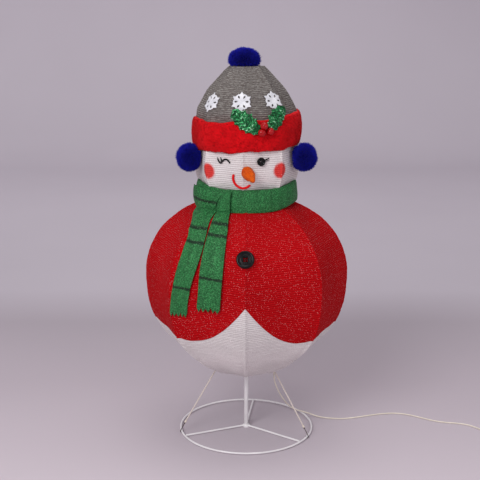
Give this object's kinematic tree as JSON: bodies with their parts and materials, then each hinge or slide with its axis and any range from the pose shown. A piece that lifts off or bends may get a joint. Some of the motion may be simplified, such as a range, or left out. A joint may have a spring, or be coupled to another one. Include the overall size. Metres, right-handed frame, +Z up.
{
  "type": "light-up yard snowman",
  "caption": "Collapsible light-up snowman: ribbed fabric lanterns on a telescopic pole and wire ring stand, with knitted hat, scarf, pompoms and a power lead.",
  "frame": {"origin": "on the floor, on the pole's axis, at the centre of the base ring", "axes": "+Z up the pole; the face looks along -Y; +X is to the viewer's right"},
  "size_m": [1.2213, 0.6271, 1.2191],
  "materials": {
    "white_steel": "gloss",
    "spring_steel": "satin",
    "hook_steel": "satin",
    "black_plastic": "gloss",
    "clear_plastic": "matte",
    "coat_fabric": "glittered yarn",
    "white_fabric": "glittered yarn",
    "grey_fabric": "heathered yarn",
    "red_plush": "plush",
    "blue_plush": "long pile",
    "green_fabric": "metallic knit",
    "green_tinsel": "sequinned",
    "white_felt": "felt",
    "orange_felt": "felt",
    "red_cord": "twisted cord",
    "elastic": "woven",
    "red_bead": "gloss",
    "lead_pvc": "satin"
  },
  "bodies": {
    "stand": {"base_ring": "white_steel", "base_spider": "white_steel", "pole_lower": "white_steel", "clamp_collar": "black_plastic", "bottom_hoop": "spring_steel", "bottom_spider": "clear_plastic", "strain_relief": "lead_pvc", "tie_hook_left": "hook_steel", "tie_hook_right": "hook_steel", "tie_hook_rear": "hook_steel", "tie_cord_left": "elastic", "tie_cord_right": "elastic", "tie_cord_rear": "elastic", "coat_cover": "coat_fabric", "skirt_cover": "white_fabric", "scarf_tail_left": "green_fabric", "scarf_tail_right": "green_fabric", "light_string_body": "lead_pvc", "body_rib_1": "spring_steel", "body_rib_2": "spring_steel", "body_rib_3": "spring_steel", "body_rib_4": "spring_steel", "body_rib_5": "spring_steel", "body_rib_6": "spring_steel", "body_rib_7": "spring_steel", "body_rib_8": "spring_steel", "lead_run": "lead_pvc", "lead_coil": "lead_pvc", "plug": "lead_pvc"},
    "head": {"pole_upper": "white_steel", "head_rib_1": "spring_steel", "head_rib_2": "spring_steel", "head_rib_3": "spring_steel", "head_rib_4": "spring_steel", "head_rib_5": "spring_steel", "head_rib_6": "spring_steel", "head_rib_7": "spring_steel", "head_rib_8": "spring_steel", "neck_hoop": "spring_steel", "eye_open": "black_plastic", "eye_wink": "black_plastic", "top_cap": "clear_plastic", "head_cover": "white_fabric", "hat_cover": "grey_fabric", "hat_cuff": "red_plush", "scarf_collar": "green_fabric", "ear_pompom_left": "blue_plush", "ear_pompom_right": "blue_plush", "hat_pompom": "blue_plush", "mouth": "red_cord", "nose": "orange_felt", "snowflake_left": "white_felt", "snowflake_middle": "white_felt", "snowflake_right": "white_felt", "holly_leaf_left": "green_tinsel", "holly_leaf_right": "green_tinsel", "holly_berries": "red_bead", "light_string_head": "lead_pvc"},
    "coat_button": {"coat_button": "black_plastic"},
    "clamp_screw": {"clamp_screw": "black_plastic"}
  },
  "joints": [
    {"name": "pole_telescope", "type": "slide", "parent": "stand", "child": "head", "axis": [0, 0, 1], "range_m": [-0.25, 0], "deforming": ["coat_cover", "skirt_cover", "scarf_tail_left", "scarf_tail_right", "light_string_body", "body_rib_1", "body_rib_2", "body_rib_3", "body_rib_4", "body_rib_5", "body_rib_6", "body_rib_7", "body_rib_8"]},
    {"name": "button_ride", "type": "slide", "parent": "stand", "child": "coat_button", "axis": [0, 0, 1], "range_m": [-0.2, 0]},
    {"name": "clamp_turn", "type": "hinge", "parent": "stand", "child": "clamp_screw", "pos_m": [0.02, 0, 0.627], "axis": [1, 0, 0], "range_deg": [0, 360]}
  ],
  "couplings": [
    {"joint": "button_ride", "follows": "pole_telescope", "ratio": 0.7684}
  ]
}
